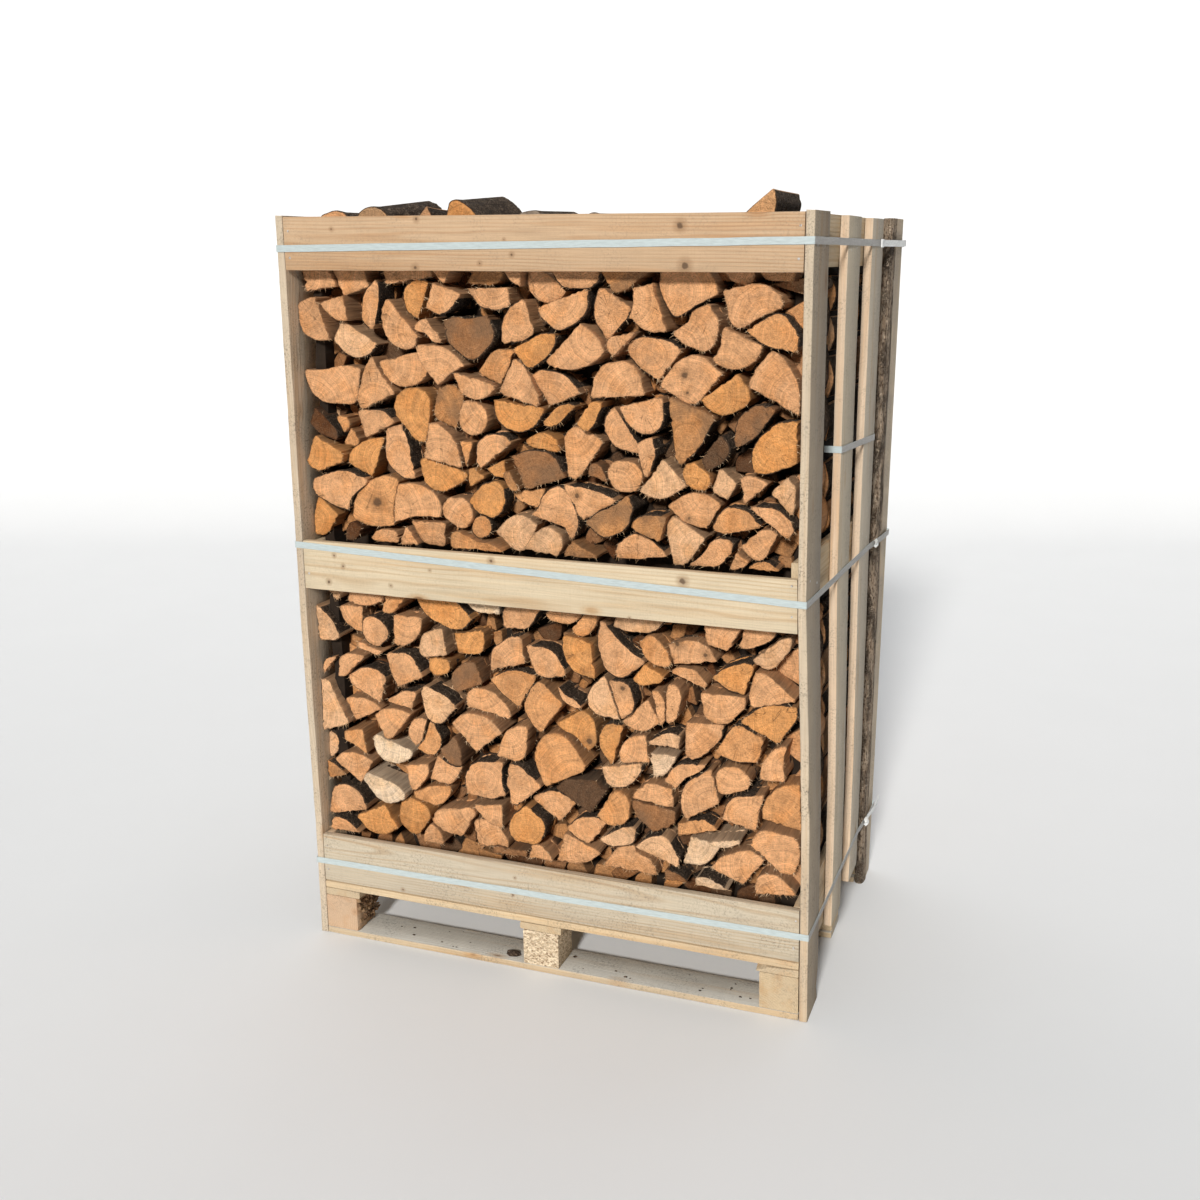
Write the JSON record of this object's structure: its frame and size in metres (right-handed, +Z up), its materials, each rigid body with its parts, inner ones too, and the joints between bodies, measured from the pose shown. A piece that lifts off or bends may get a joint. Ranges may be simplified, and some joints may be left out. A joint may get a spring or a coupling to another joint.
{
  "type": "crate of firewood",
  "caption": "Slatted wooden pallet crate packed with stacked split firewood, logs end-on at the front, bound with flat plastic straps.",
  "frame": {"origin": "on the ground under the middle of the crate's bounding box", "axes": "+Z up, -Y towards the open front where the log ends show, +X to the right seen from the front"},
  "size_m": [1.1374, 0.7406, 1.5892],
  "materials": {
    "pallet_wood": "weathered sawn wood",
    "pallet_block_wood": "rough sawn block",
    "pressed_chip_block": "pressed wood chips",
    "slat_wood": "sawn wood",
    "bark_edged_slab": "sawn slab with bark",
    "rail_wood": "sawn wood, pale",
    "split_log_wood": "split end grain",
    "log_bark": "rough dark bark",
    "strap_plastic": "smooth strapping band"
  },
  "bodies": {
    "root": {"back_board_lower": "rail_wood", "back_board_middle": "rail_wood", "back_board_top": "rail_wood", "corner_post_back_left": "slat_wood", "corner_post_back_right": "bark_edged_slab", "corner_post_front_left": "slat_wood", "corner_post_front_right": "slat_wood", "cross_tie_left": "strap_plastic", "cross_tie_right": "strap_plastic", "firewood_row_back": "split_log_wood", "firewood_row_front": "split_log_wood", "firewood_row_middle": "split_log_wood", "front_board_lower": "rail_wood", "front_board_middle": "rail_wood", "front_board_top": "rail_wood", "loose_log_bark_left": "log_bark", "loose_log_bark_middle": "log_bark", "loose_log_left": "split_log_wood", "loose_log_right": "split_log_wood", "loose_log_small": "split_log_wood", "loose_slab_short": "split_log_wood", "loose_slab_wide": "split_log_wood", "pallet_block_back_left": "pallet_block_wood", "pallet_block_back_middle": "pressed_chip_block", "pallet_block_back_right": "pallet_block_wood", "pallet_block_front_left": "pallet_block_wood", "pallet_block_front_middle": "pressed_chip_block", "pallet_block_front_right": "pallet_block_wood", "pallet_block_middle_left": "pallet_block_wood", "pallet_block_middle_middle": "pressed_chip_block", "pallet_block_middle_right": "pallet_block_wood", "pallet_bottom_board_back": "pallet_wood", "pallet_bottom_board_front": "pallet_wood", "pallet_bottom_board_middle": "pallet_wood", "pallet_deck_board_1": "pallet_wood", "pallet_deck_board_2": "pallet_wood", "pallet_deck_board_3": "pallet_wood", "pallet_deck_board_4": "pallet_wood", "pallet_deck_board_5": "pallet_wood", "pallet_stringer_left": "pallet_wood", "pallet_stringer_middle": "pallet_wood", "pallet_stringer_right": "pallet_wood", "side_board_left_lower": "rail_wood", "side_board_left_middle": "rail_wood", "side_board_left_top": "rail_wood", "side_board_right_lower": "rail_wood", "side_board_right_middle": "rail_wood", "side_board_right_top": "rail_wood", "side_slat_left_1": "slat_wood", "side_slat_left_2": "slat_wood", "side_slat_right_1": "slat_wood", "side_slat_right_2": "slat_wood", "strap_end_lower": "strap_plastic", "strap_end_top": "strap_plastic", "strap_knot_lower": "strap_plastic", "strap_lower": "strap_plastic", "strap_middle": "strap_plastic", "strap_seal_middle": "strap_plastic", "strap_seal_top": "strap_plastic", "strap_top": "strap_plastic"}
  },
  "joints": []
}
